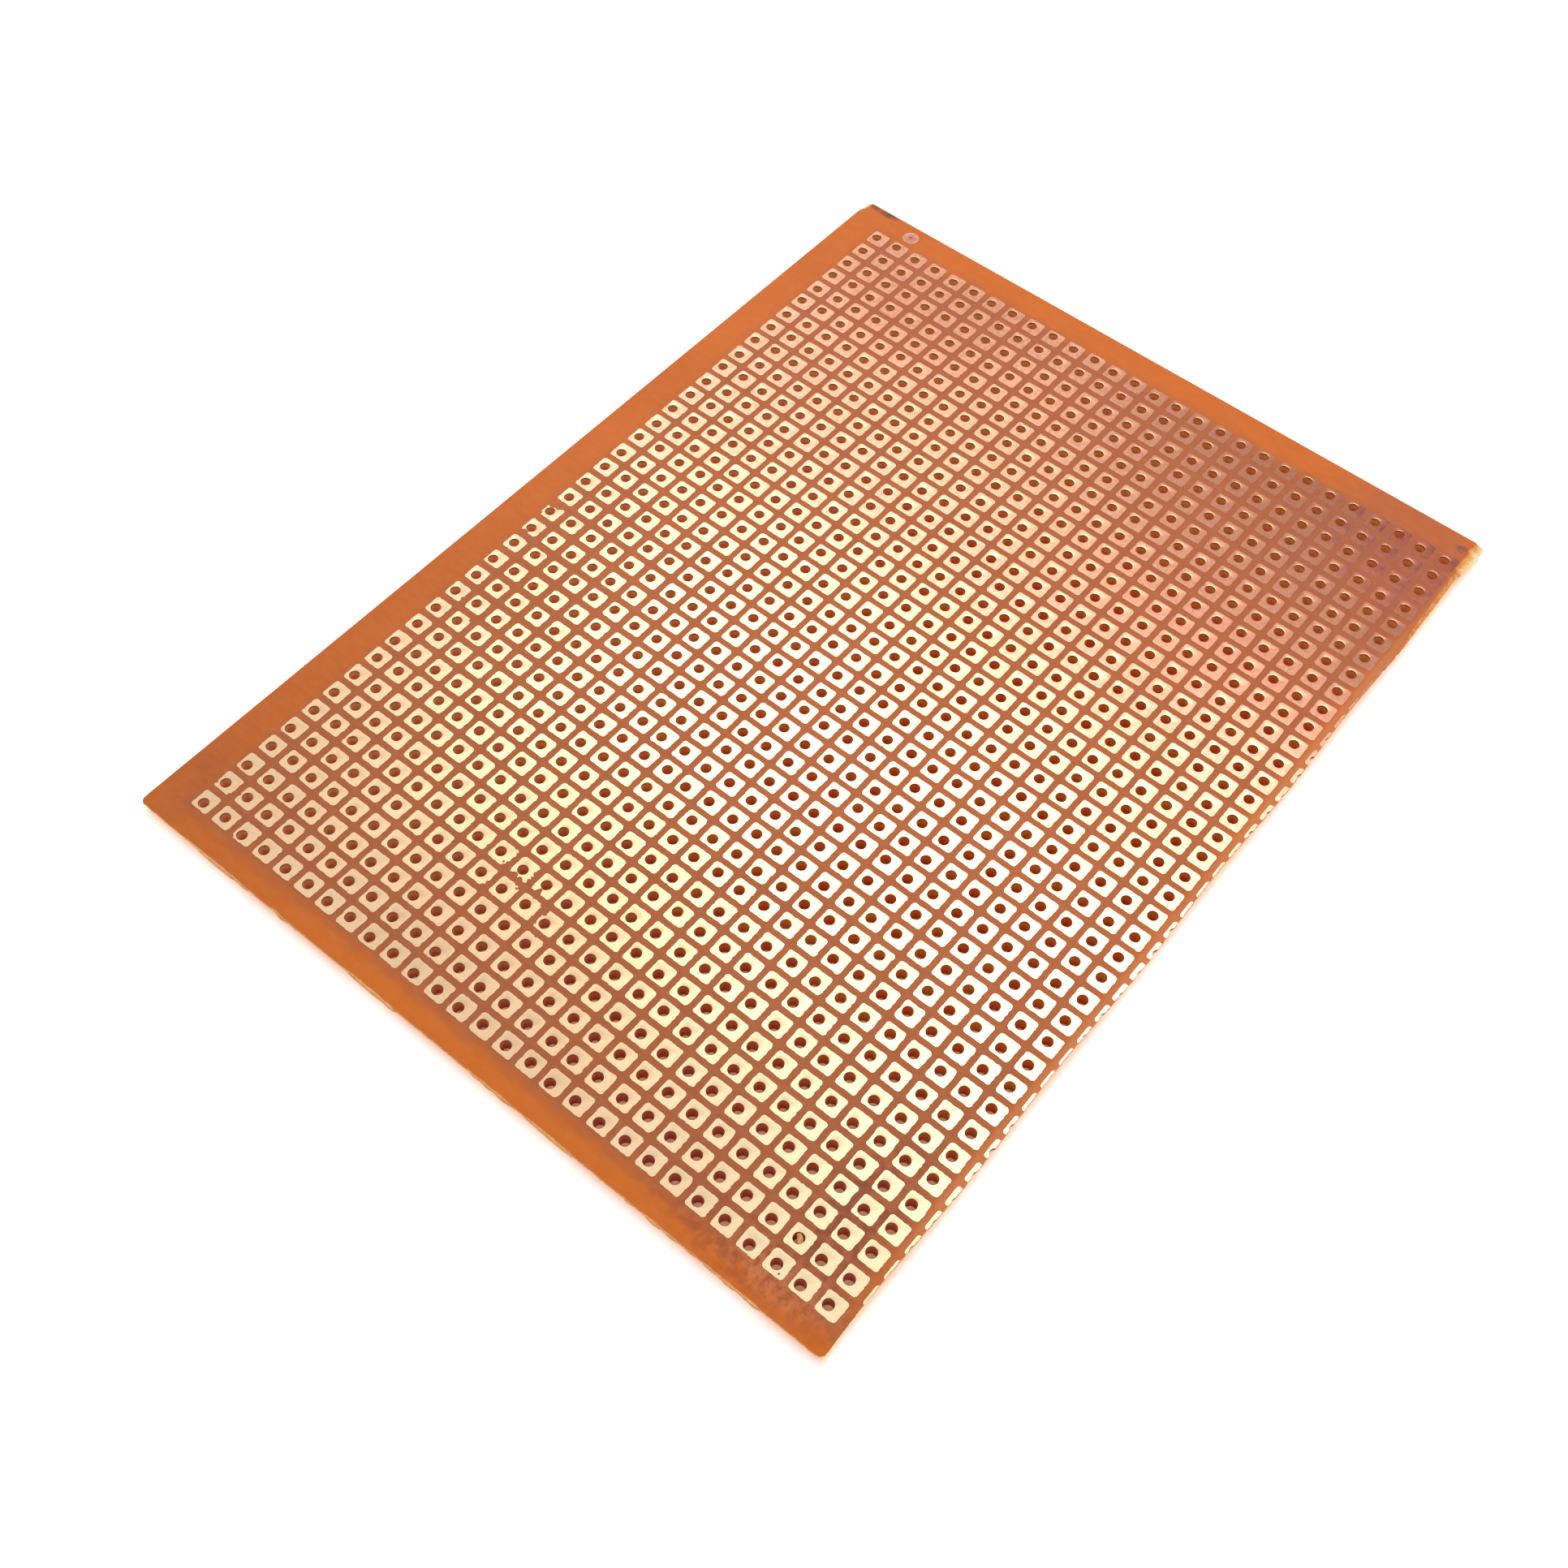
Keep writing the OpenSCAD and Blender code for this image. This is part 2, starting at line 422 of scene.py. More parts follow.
class Finish:
    """A procedural material under construction, with its object coordinates in millimetres."""

    def __init__(self, name):
        self.material = bpy.data.materials.new(name)
        self.material.use_nodes = True
        self.tree = self.material.node_tree
        self.shader = self.tree.nodes["Principled BSDF"]
        place = self.node("ShaderNodeTexCoord").outputs["Object"]
        self.place = self.vector("SCALE", place, scale=1 / MM)
        self.along = self.parts(self.place)

    def node(self, kind, settings=None, **values):
        made = self.tree.nodes.new(kind)
        for name, value in (settings or {}).items():
            setattr(made, name, value)
        for name, value in values.items():
            self.feed(made.inputs[name.replace("_", " ")], value)
        return made

    def feed(self, entry, value):
        if isinstance(value, bpy.types.NodeSocket):
            self.tree.links.new(value, entry)
        else:
            entry.default_value = value

    def vector(self, operation, first, second=(0, 0, 0), scale=1.0):
        made = self.node("ShaderNodeVectorMath", {"operation": operation})
        self.feed(made.inputs[0], first)
        self.feed(made.inputs[1], second)
        if operation == "SCALE":
            made.inputs["Scale"].default_value = scale
        return made.outputs["Value" if operation == "LENGTH" else "Vector"]

    def parts(self, vector):
        return self.node("ShaderNodeSeparateXYZ", Vector=vector).outputs

    def number(self, operation, first, second=0.0, third=0.0):
        made = self.node("ShaderNodeMath", {"operation": operation})
        for entry, value in zip(made.inputs, (first, second, third)):
            self.feed(entry, value)
        return made.outputs[0]

    def plus(self, first, second):
        return self.number("ADD", first, second)

    def minus(self, first, second):
        return self.number("SUBTRACT", first, second)

    def times(self, first, second):
        return self.number("MULTIPLY", first, second)

    def step(self, value, start, end, low=0.0, high=1.0):
        """Low on start's side, high on end's side, and a smooth step between them."""
        made = self.node("ShaderNodeMapRange", {"interpolation_type": "SMOOTHSTEP"}, Value=value,
                         From_Min=start, From_Max=end, To_Min=low, To_Max=high)
        return made.outputs[0]

    def grain(self, per_mm, detail=2.0, stretch=(1, 1, 1), shift=(0, 0, 0)):
        """Noise from 0 to 1 with so many lumps in a millimetre."""
        made = self.node("ShaderNodeMapping", Vector=self.place, Location=shift, Scale=stretch)
        return self.node("ShaderNodeTexNoise", Vector=made.outputs[0], Scale=per_mm,
                         Detail=detail).outputs[0]

    def mix(self, share, first, second, blend="MIX"):
        """Colour from first to second. The node has its colour sockets after its others."""
        made = self.node("ShaderNodeMix", {"data_type": "RGBA", "blend_type": blend})
        self.feed(made.inputs[0], share)
        self.feed(made.inputs[6], first)
        self.feed(made.inputs[7], second)
        return made.outputs[2]

    def patch(self, x, y, reach_x, reach_y):
        """1 in the middle of a soft oval patch on the board, and 0 outside it."""
        away = self.vector("SUBTRACT", self.place, (x, y, 0))
        away = self.vector("MULTIPLY", away, (1 / reach_x, 1 / reach_y, 0))
        return self.step(self.vector("LENGTH", away), 1.0, 0.35)

    def beyond(self, x, y, half_x, half_y):
        """How far outside a rectangle round x, y a place lies. Inside it this is negative."""
        away = self.vector("ABSOLUTE", self.vector("SUBTRACT", self.place, (x, y, 0)))
        away = self.parts(self.vector("SUBTRACT", away, (half_x, half_y, 0)))
        return self.number("MAXIMUM", away["X"], away["Y"])

    def in_cell(self, off_y=0.0):
        """Place from 0 to 1 each way in the square round each pad, or off it along Y."""
        corner = (pad_x(1) - pitch / 2, pad_y(1) - pitch / 2 + off_y, 0)
        cell = self.vector("SUBTRACT", self.place, corner)
        return self.vector("FRACTION", self.vector("SCALE", cell, scale=1 / pitch))

    def bump(self, height, strength, distance):
        made = self.node("ShaderNodeBump", Height=height, Strength=strength,
                         Distance=distance * MM)
        self.feed(self.shader.inputs["Normal"], made.outputs[0])

    def set(self, **values):
        for name, value in values.items():
            self.feed(self.shader.inputs[name.replace("_", " ")], value)


# Marks on the top face: middle, reach each way, lumps in a millimetre, strength and shade
MARKS = (
    (50.6, 35.2, 0.75, 2.6, 0.2, 1.0, (104, 56, 48)),      # grease by the far clean corner
    (49.2, -35.9, 0.7, 0.9, 1.0, 1.0, (118, 78, 84)),      # the same by the far sawn corner
    (-47.8, -29.0, 4.0, 14.0, 1.1, 0.65, (150, 66, 28)),   # old flux, dark
    (-48.0, -31.0, 2.8, 8.0, 1.9, 0.45, (216, 134, 88)),   # and where it dried pale
    (-40.0, -32.5, 10.0, 5.0, 1.2, 0.6, (116, 48, 30)),    # old flux between the pads
    (-47.0, 35.6, 7.0, 3.0, 0.3, 0.45, (160, 84, 40)),     # browned near clean corner
    (44.0, -30.0, 15.0, 13.0, 0.1, 0.45, (158, 90, 74)),   # browner, duller far sawn corner
    (*mark_middle, 0.9, 0.9, 0.2, 1.0, (196, 112, 92)))    # dull eye of the register mark

BORDER_NEAR, BORDER_FAR = rgb(190, 96, 26), rgb(212, 108, 34)
# Painted glow: amber for light that enters the translucent laminate through its near edge
AMBER_GLOW, AMBER_GLOW_BY_CUT = rgb(207, 104, 8), rgb(199, 97, 0)
# Painted shade: the field between the pads is browner, for the light that the pads keep out of the
# translucent laminate
FIELD_SHADE_NEAR, FIELD_SHADE_MIDDLE, FIELD_SHADE_FAR = rgb(165, 90, 49), rgb(182, 100, 54), rgb(179, 99, 62)
BRUISED = rgb(232, 158, 104)
DRY_PAPER = rgb(208, 126, 76)
CLOUDED = rgb(150, 78, 44)
PAPER_GRAIN = rgb(235, 150, 90)
HALO_R = (0.75, 1.05)      # full inside the first and gone outside the second
FIELD_BAND = (-1.3, 1.0)   # the field turns into the border between these
AMBER_GLOW_BAND = (2.6, 1.0)    # off the near edge, the painted amber glow comes in between these
DRY_BAND = (0.2, -0.5)     # and dry paper between these, off the last whole row's pads


def laminate_border(skin, x, y):
    """Bare laminate round the field of pads: orange, and amber along the near edge as a painted
    glow of light that enters the translucent laminate through that edge.
    """
    border = skin.mix(skin.step(x, board_low.x, 20), BORDER_NEAR, BORDER_FAR)
    start, end = AMBER_GLOW_BAND
    amber_glow = skin.times(skin.step(x, board_low.x + start, board_low.x + end),
                       skin.step(y, 32, 4, 0.3, 1.0))
    return skin.mix(amber_glow, border, skin.mix(skin.step(y, -14, -34), AMBER_GLOW, AMBER_GLOW_BY_CUT))


def shaded_laminate_field(skin, x):
    """Laminate that the etch bared between the pads, painted browner as shade for the light that
    the pads keep out of the translucent laminate.
    """
    field_shade = skin.mix(skin.step(x, board_low.x, 0), FIELD_SHADE_NEAR, FIELD_SHADE_MIDDLE)
    return skin.mix(skin.step(x, 10, 45), field_shade, FIELD_SHADE_FAR)


def between_pads(skin, x):
    """1 in the field of pads and 0 on the border, which starts later by the near edge."""
    middle_x = (pad_x(1) + pad_x(columns)) / 2
    middle_y = (pad_y(1) + pad_y(rows)) / 2
    away = skin.beyond(middle_x, middle_y, pad_x(columns) - middle_x + pad_w / 2,
                       pad_y(1) - middle_y + pad_w / 2)
    away = skin.plus(away, skin.step(skin.grain(0.7, 3.0), 0.3, 0.7, -0.3, 0.3))
    away = skin.minus(away, skin.step(x, pad_x(1) + 1, pad_x(1) - 1, 0.0, 0.5))
    inside, outside = FIELD_BAND
    return skin.step(away, outside, inside)


def bruised_halo(skin, paper):
    """Where the drill bruised the laminate round every hole."""
    cell = skin.vector("SUBTRACT", skin.in_cell(DRILL_SIDE), (0.5, 0.5, 0))
    cell = skin.vector("MULTIPLY", cell, (pitch, pitch, 0))
    away = skin.plus(skin.vector("LENGTH", cell), skin.times(paper, 0.3))
    full, gone = HALO_R
    return skin.step(away, gone, full, 0.0, 0.5)


def laminate_skin():
    """Resin-rich face: orange round the field of pads, and browner between them as painted shade
    for the light that the pads keep out of the translucent laminate.
    """
    skin = Finish("laminate_skin")
    x, y = skin.along["X"], skin.along["Y"]
    top = skin.step(skin.along["Z"], 0.6, 0.9)
    between = between_pads(skin, x)
    cloud = skin.grain(0.09, 3.0)
    paper = skin.grain(1.6, 4.0, stretch=(1, 0.45, 1))
    # Painted shade browns the field between the pads
    colour = skin.mix(skin.times(between, top), laminate_border(skin, x, y),
                      shaded_laminate_field(skin, x))

    # On the underside the bruises show as a pale halo round every hole
    underneath = skin.times(between, skin.minus(1.0, top))
    colour = skin.mix(skin.times(bruised_halo(skin, paper), underneath), colour, BRUISED)

    # Dry paper shows along the saw cut, and old flux and finger marks dull some places
    last_line = pad_y(rows) - pad_w / 2
    start, end = DRY_BAND
    dry = skin.times(skin.step(y, last_line + start, last_line + end),
                     skin.step(x, board_low.x + 4, board_low.x + 18))
    colour = skin.mix(skin.times(dry, 0.75), colour, DRY_PAPER)
    for middle_x, middle_y, reach_x, reach_y, lump, strength, shade in MARKS:
        lumps = skin.grain(lump, 4.0, shift=(middle_x, 0, 3))
        share = skin.times(skin.patch(middle_x, middle_y, reach_x, reach_y),
                           skin.step(lumps, 0.36, 0.6, 0.0, strength))
        colour = skin.mix(skin.times(share, top), colour, rgb(*shade))
    colour = skin.mix(skin.step(cloud, 0.35, 0.65, 0.0, 0.14), colour, CLOUDED)
    colour = skin.mix(skin.step(paper, 0.3, 0.75, 0.02, 0.1), colour, PAPER_GRAIN)
    skin.set(Base_Color=colour, Roughness=skin.step(cloud, 0.3, 0.7, 0.48, 0.56),
             Specular_IOR_Level=0.25)
    skin.bump(skin.grain(2.2, 4.0), 0.12, 0.03)
    return skin.material


WALL_RED, WALL_GOLD = rgb(238, 124, 54), rgb(240, 162, 66)
WALL_HAZY = rgb(226, 124, 92)
WALL_PLIES = rgb(240, 160, 96)
WALL_CLEAN_SIDE, WALL_FAR = rgb(254, 196, 140), rgb(248, 194, 126)
# Painted shade: the top of every hole's wall is darker, as if shaded by its rim
WALL_RIM_SHADE = rgb(158, 80, 42)
RIM_SHADE_DEPTH = 0.4


def drilled_wall():
    """Wall of a drilled hole: red-brown paper, another shade in every hole, and darker at its top
    as painted shade under the hole's rim.
    """
    wall = Finish("drilled_wall")
    x, y = wall.along["X"], wall.along["Y"]
    cell = wall.vector("MULTIPLY", wall.place, (1 / pitch, 1 / pitch, 0))
    cell = wall.vector("SUBTRACT", cell, ((pad_x(1) / pitch) % 1 - 0.5,
                                          (pad_y(1) / pitch) % 1 - 0.5, 0))
    chance = wall.node("ShaderNodeTexWhiteNoise", {"noise_dimensions": "2D"},
                       Vector=wall.vector("FLOOR", cell)).outputs[0]
    plies = wall.grain(2.0, 3.0, stretch=(1, 1, 5))
    colour = wall.mix(wall.number("POWER", chance, 2.0), WALL_RED, WALL_GOLD)
    colour = wall.mix(wall.step(x, -20, -46), colour, WALL_HAZY)
    colour = wall.mix(wall.step(plies, 0.4, 0.7, 0.0, 0.4), colour, WALL_PLIES)
    colour = wall.mix(wall.step(y, -15, 32, 0.0, 0.75), colour, WALL_CLEAN_SIDE)
    colour = wall.mix(wall.step(x, 18, 34, 0.0, 0.55), colour, WALL_FAR)
    # Painted shade darkens the wall's top
    rim = wall.step(wall.along["Z"], board_high.z - RIM_SHADE_DEPTH, board_high.z, 0.0, 0.9)
    colour = wall.mix(rim, colour, WALL_RIM_SHADE)
    wall.set(Base_Color=colour, Roughness=0.6, Specular_IOR_Level=0.3, Subsurface_Weight=0.7,
             Subsurface_Radius=(1.0, 0.35, 0.15), Subsurface_Scale=1.2 * MM)
    wall.bump(plies, 0.5, 0.05)
    return wall.material


PLY_BROWN, PLY_GOLD = rgb(208, 124, 58), rgb(230, 158, 88)
DARK_RESIN = rgb(146, 76, 28)
GOLDEN_FIBRE, WHITE_FIBRE = rgb(240, 168, 92), rgb(252, 230, 186)


def cut_paper():
    """Sawn, sheared and broken edges: golden-brown plies with pale torn fibre on them."""
    edge = Finish("cut_paper")
    fibre = edge.node("ShaderNodeAttribute", {"attribute_name": "fibre"}).outputs["Fac"]
    plies = edge.grain(2.2, 4.0, stretch=(1, 1, 2.2))
    flecks = edge.grain(5.0, 4.0, shift=(7, 3, 1))
    pale = edge.plus(fibre, edge.step(flecks, 0.35, 0.7, -0.12, 0.15))
    colour = edge.mix(edge.step(plies, 0.35, 0.65), PLY_BROWN, PLY_GOLD)
    colour = edge.mix(edge.step(fibre, -0.1, -0.5), colour, DARK_RESIN)
    colour = edge.mix(edge.step(pale, 0.1, 0.75), colour, GOLDEN_FIBRE)
    colour = edge.mix(edge.step(pale, 0.45, 1.25), colour, WHITE_FIBRE)
    edge.set(Base_Color=colour, Roughness=0.75, Specular_IOR_Level=0.25, Subsurface_Weight=0.5,
             Subsurface_Radius=(1.0, 0.45, 0.15), Subsurface_Scale=1.0 * MM)
    edge.bump(edge.plus(plies, flecks), 0.6, 0.06)
    return edge.material


board = solid("laminate_board", board_points, board_faces,
              [laminate_skin(), drilled_wall(), cut_paper()])
no_fibre = [0.0] * len(hole_points)
fibres = [fibre for point, fibre in edge_rings[0]] + no_fibre
fibres += [fibre for point, fibre in edge_rings[-1]] + no_fibre
for ring in edge_rings[1:-1]:
    fibres += [fibre for point, fibre in ring]
board.data.attributes.new("fibre", "FLOAT", "POINT").data.foreach_set("value", fibres)
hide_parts("laminate")
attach(board, "root")


# ---------------------------------------------------------------- torn fibre
# A strip of the laminate's own paper that the drill tore loose but left hanging across the
# second hole of the third row from the cut: golden, bent and lighter than the hole's wall.
TORN_HOLE = (2, rows - 2)
TORN_OFF_HOLE = (0.07, -0.09)
TORN_TURN = 50           # degrees from +X
TORN_HALF_L = 0.47       # as a share of the hole's diameter
TORN_W = 0.44
TORN_T = 0.07
TORN_DEPTH = 0.2         # of its ends, under the top face
TORN_SAG = 0.14
TORN_STEPS = 8
TORN_DARK, TORN_LIGHT = rgb(208, 138, 70), rgb(246, 196, 120)
torn_middle = hole_middle(*TORN_HOLE) + Vector(TORN_OFF_HOLE)
torn_way = Vector((math.cos(math.radians(TORN_TURN)), sine(TORN_TURN)))
torn_side = Vector((-torn_way.y, torn_way.x))


def torn_paper():
    """Clean dry paper, streaked with gold."""
    torn = Finish("torn_fibre")
    streaks = torn.grain(3.0, 3.0)
    colour = torn.mix(torn.step(streaks, 0.4, 0.6), TORN_DARK, TORN_LIGHT)
    torn.set(Base_Color=colour, Roughness=0.6, Specular_IOR_Level=0.3)
    torn.bump(streaks, 0.5, 0.03)
    return torn.material


points, faces = [], []
for index in range(TORN_STEPS + 1):
    share = 2 * index / TORN_STEPS - 1
    half_w = TORN_W / 2 * (1 - 0.25 * share * share) + 0.02 * rough(share * 3, 5.0)
    z = board_high.z - TORN_DEPTH - TORN_SAG * (1 - share * share)
    spot = torn_middle + torn_way * share * HOLE_D * TORN_HALF_L
    for side, layer in ((-1, 0), (1, 0), (1, 1), (-1, 1)):
        points.append(Vector((*(spot + torn_side * side * half_w), z + layer * TORN_T)))
for index in range(TORN_STEPS):
    for corner in range(4):
        here, after = index * 4 + corner, index * 4 + (corner + 1) % 4
        faces.append(((here, after, after + 4, here + 4), 0))
faces.append(((3, 2, 1, 0), 0))
last = TORN_STEPS * 4
faces.append(((last, last + 1, last + 2, last + 3), 0))
torn_fibre = solid("torn_fibre_in_hole", points, faces, [torn_paper()])
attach(torn_fibre, "root")


# ---------------------------------------------------------------- copper pads
# Each pad is 35 micron copper foil left standing by the etch, square with soft corners and
# a slightly ragged outline. The drill pressed the foil down at one side of its hole.
PAD_R = 0.27
FOOT = 0.03              # how far the etched side slopes out past the pad's width
RIM_W = 0.075            # of the foil that the drill pressed down
RIM_DROP = 0.008
PRESSED_TURN = (5, 70)   # degrees from +X to the pressed side, and how far that wanders
PRESSED_ROUND = 0.12     # share of the drop that the rest of the rim has
LEAST_FOIL = 0.03        # between a hole and the outline
RAGGEDNESS = 0.024
SIDE_POINTS = 8
BITTEN_SIDE_POINTS = 22  # along the sides of a pad with damage that stands out
CORNER_POINTS = 3
FOIL_CREASE = 7          # degrees
foil_foot = board_high.z
foil_top = first_high.z

# Places where the etch ate further under the resist: column, row, reach in columns and in
# rows, and how much narrower the pads are there
OVER_ETCHED = ((16, 2, 5.0, 5.0, 0.22), (4, 1, 7.0, 3.0, 0.08), (36, 12, 7.0, 16.0, 0.07))


def pad_width(column, row):
    narrower = 0.0
    for middle_column, middle_row, reach_x, reach_y, loss in OVER_ETCHED:
        apart = ((column - middle_column) / reach_x) ** 2 + ((row - middle_row) / reach_y) ** 2
        narrower = max(narrower, loss * math.exp(-apart))
    return pad_w - narrower


def pad_outline(width, side_points=SIDE_POINTS):
    """Points round a square pad with round corners, about its middle, with their outward way."""
    flat = width / 2 - PAD_R
    points = []
    for quarter in range(4):
        turn = Matrix.Rotation(quarter * math.pi / 2, 2)
        for index in range(CORNER_POINTS + 1):
            angle = math.pi / 2 * index / CORNER_POINTS
            way = Vector((math.cos(angle), math.sin(angle)))
            points.append((turn @ (Vector((flat, flat)) + PAD_R * way), turn @ way))
        for index in range(1, side_points):
            place = Vector((flat - 2 * flat * index / side_points, flat + PAD_R))
            points.append((turn @ place, turn @ Vector((0, 1))))
    return points


def ring_faces(start, count, rings, finish_of):
    """Quads between rings of points that follow each other, and from the last to the first."""
    faces = []
    for ring in range(rings):
        inner = (ring + 1) % rings
        for index in range(count):
            after = (index + 1) % count
            faces.append(((start + ring * count + index, start + ring * count + after,
                           start + inner * count + after, start + inner * count + index),
                          finish_of(ring)))
    return faces


FOIL, ETCHED = range(2)


def etched_ring(points, faces, outer, hole, hole_r, rim_drop):
    """Adds one piece of foil between an outline and a hole in it."""
    start = len(points)
    rays = [(point - hole).normalized() for point in outer]

    # Distances from the hole's middle to the foot, the middle and the top of the etched
    # side, to the outer line and the middle of the pressed rim, and to the hole
    profile = []
    for point in outer:
        reach = max((point - hole).length, hole_r + LEAST_FOIL)
        gap = reach - hole_r
        profile.append((reach, reach - min(FOOT / 2, 0.2 * gap), reach - min(FOOT, 0.4 * gap),
                        hole_r + min(RIM_W, 0.5 * gap), hole_r + min(RIM_W / 3, 0.2 * gap),
                        hole_r))
    heights = (foil_foot, foil_foot + 0.7 * (foil_top - foil_foot), foil_top, foil_top,
               foil_top, foil_top)
    drops = (0, 0, 0, 0, 0.55 * rim_drop, rim_drop)
    turn, wander = PRESSED_TURN
    turn = math.radians(turn + wander * rough(hole.x * 3, hole.y * 3))
    pressed_way = Vector((math.cos(turn), math.sin(turn)))
    for ring, (z, drop) in enumerate(zip(heights, drops)):
        for ray, stops in zip(rays, profile):
            pressed = steady(ray.dot(pressed_way), 0.1, 0.8)
            pressed = PRESSED_ROUND + (1 - PRESSED_ROUND) * pressed
            points.append(Vector((*(hole + ray * stops[ring]), z - pressed * drop)))
    faces += ring_faces(start, len(outer), len(heights),
                        lambda ring: ETCHED if ring < 2 else FOIL)


BITE_PAST = 0.2          # a bite also takes the foil that is left this far outside it


def bitten(point, hole, bites):
    """Pulls a point of an outline back towards the hole, out of every bite that it lies in."""
    for bite, radius in bites:
        ray = (point - hole).normalized()
        reach = (point - hole).length
        to_bite = bite - hole
        nearest = to_bite.dot(ray)
        aside = to_bite.length_squared - nearest * nearest
        if aside < radius * radius:
            half_chord = math.sqrt(radius * radius - aside)
            entry = nearest - half_chord
            if 0 < entry < reach < nearest + half_chord + BITE_PAST:
                point = hole + ray * entry
    return point


# Damage that stands out, as column, row, then the bite's middle off the pad's and its radius
BITES = (
    (2, 1, -0.57, 0.97, 0.16), (2, 1, -0.78, -0.95, 0.15), (2, 2, -0.23, 0.98, 0.13),
    (1, 3, -0.95, 0.9, 0.18), (13, 1, -0.35, -0.98, 0.2), (12, 2, 0.98, -0.95, 0.36),
    (16, 1, 0.98, -0.7, 0.2), (17, 1, -0.9, 0.3, 0.3), (17, 1, -0.6, 0.28, 0.2),
    (18, 1, 0.98, 0.6, 0.58), (18, 1, 0.98, -0.1, 0.42), (18, 1, -0.8, 1.0, 0.3),
    (5, 10, -0.42, -1.0, 0.14), (5, 10, -1.0, -1.0, 0.34), (6, 10, -0.5, -1.0, 0.17),
    (6, 10, -1.0, -1.0, 0.34), (6, 10, 0.7, -1.0, 0.1), (5, 11, 0.98, -0.92, 0.2),
    (5, 11, 1.0, -0.45, 0.1), (6, 11, -0.97, 0.35, 0.3), (6, 11, -1.02, -0.3, 0.24),
    (6, 11, -0.6, -1.0, 0.17), (6, 11, -0.2, -1.0, 0.12), (6, 11, 0.25, -1.0, 0.2),
    (6, 11, 0.58, -1.0, 0.11), (6, 12, -0.97, 0.2, 0.28), (6, 12, -0.6, 0.22, 0.2),
    (5, 12, 0.97, -0.97, 0.2), (5, 12, 1.0, 0.1, 0.1), (5, 13, 0.55, 0.95, 0.27),
    (5, 13, 0.82, 0.9, 0.16), (5, 13, -0.65, 1.0, 0.15), (4, 13, 1.0, 0.0, 0.1),
    (7, 9, 0.2, -1.0, 0.1), (7, 9, 0.5, -1.0, 0.1))

NICKS_ON_A_PAD = (0, 0, 1, 1, 2)   # small bites, one of these numbers by chance
NICK_R = (0.05, 0.12)
chance = random.Random(28)


def pad_bites(column, row, width):
    """Bites out of one pad: those that stand out, and small ones by chance."""
    bites = [(Vector((x, y)), radius) for at_column, at_row, x, y, radius in BITES
             if (at_column, at_row) == (column, row)]
    for _ in range(chance.choice(NICKS_ON_A_PAD)):
        place, way = chance.choice(pad_outline(width))
        radius = chance.uniform(*NICK_R)
        bites.append((place + way * radius * chance.uniform(0.4, 0.9), radius))
    return bites


def ragged_outline(column, row, width):
    """A pad's outline on the board, wavy and nicked by the etch."""
    middle = Vector((pad_x(column), pad_y(row)))
    bites = [(middle + place, radius) for place, radius in pad_bites(column, row, width)]
    hole = hole_middle(column, row)
    stands_out = any((column, row) == bite[:2] for bite in BITES)
    points = []
    for place, way in pad_outline(width, BITTEN_SIDE_POINTS if stands_out else SIDE_POINTS):
        spot = middle + place
        uneven = RAGGEDNESS * (1.6 if way.y < -0.7 else 1.0) * (1 + steady(-spot.x, -10, 25))
        uneven *= rough(spot.x * 4.0, spot.y * 4.0, 0.5) + 0.5 * rough(spot.x * 13, spot.y * 13)
        points.append(bitten(spot + way * uneven, hole, bites))
    return points


# Tarnish, etched pits and painted reflection on the foil, where some patches dull or brighten the
# copper as the panel's reflection falls: middle, reach each way, strength and shade
PIT = (120, 62, 34)   # where the etch bit a small pit into the foil
TARNISH_AND_SHEEN = (
    (46.0, -34.5, 13.0, 10.0, 0.9, (254, 164, 136)),   # redder far sawn corner
    (46.0, 23.0, 17.0, 17.0, 0.9, (228, 162, 130)),    # duller far clean corner
    (-46.0, 2.0, 20.0, 20.0, 0.8, (209, 176, 139)),    # duller near end, painted shade on the panel's reflection
    (-30.0, 4.0, 13.0, 17.0, 0.55, (214, 174, 131)),   # and yellower where that ends, also painted shade on the reflection
    (28.0, 4.0, 11.0, 24.0, 0.8, (249, 196, 157)),     # yellower and brighter towards the far end, painted highlight
    (15.0, -33.0, 8.0, 10.0, 0.8, (251, 203, 166)),    # brighter by the cut, painted highlight
    (32.5, -36.0, 8.0, 5.0, 0.85, (228, 167, 132)),    # and duller beyond that
    (*mark_middle, 0.9, 0.9, 0.9, (212, 140, 130)),    # dull round the mark's eye
    (pad_x(6) - 0.6, pad_y(10) - 0.6, 0.2, 0.13, 1.0, PIT),
    (pad_x(5) + 0.72, pad_y(11) - 0.73, 0.13, 0.2, 1.0, PIT),
    (pad_x(1) - 0.62, pad_y(26) - 0.5, 0.14, 0.12, 1.0, PIT))

COPPER, COPPER_CLOUDED = rgb(252, 186, 153), rgb(249, 184, 149)
# Painted highlight: paler, yellower copper for the whitened look of the panel's reflection
HIGHLIGHT_TINT, HIGHLIGHT_TINT_MIDDLE, HIGHLIGHT_TINT_BY_CUT = rgb(224, 192, 153), rgb(212, 187, 150), rgb(220, 203, 163)
BLOTCHED = rgb(229, 226, 226)
# Painted shade for drill-bent foil that mirrors a darker part of the room
BENT_FOIL_SHADE = rgb(212, 146, 134)
BENT_FOIL_SHADE_CORNER = (46, -32, 11, 12)   # middle, then reach each way


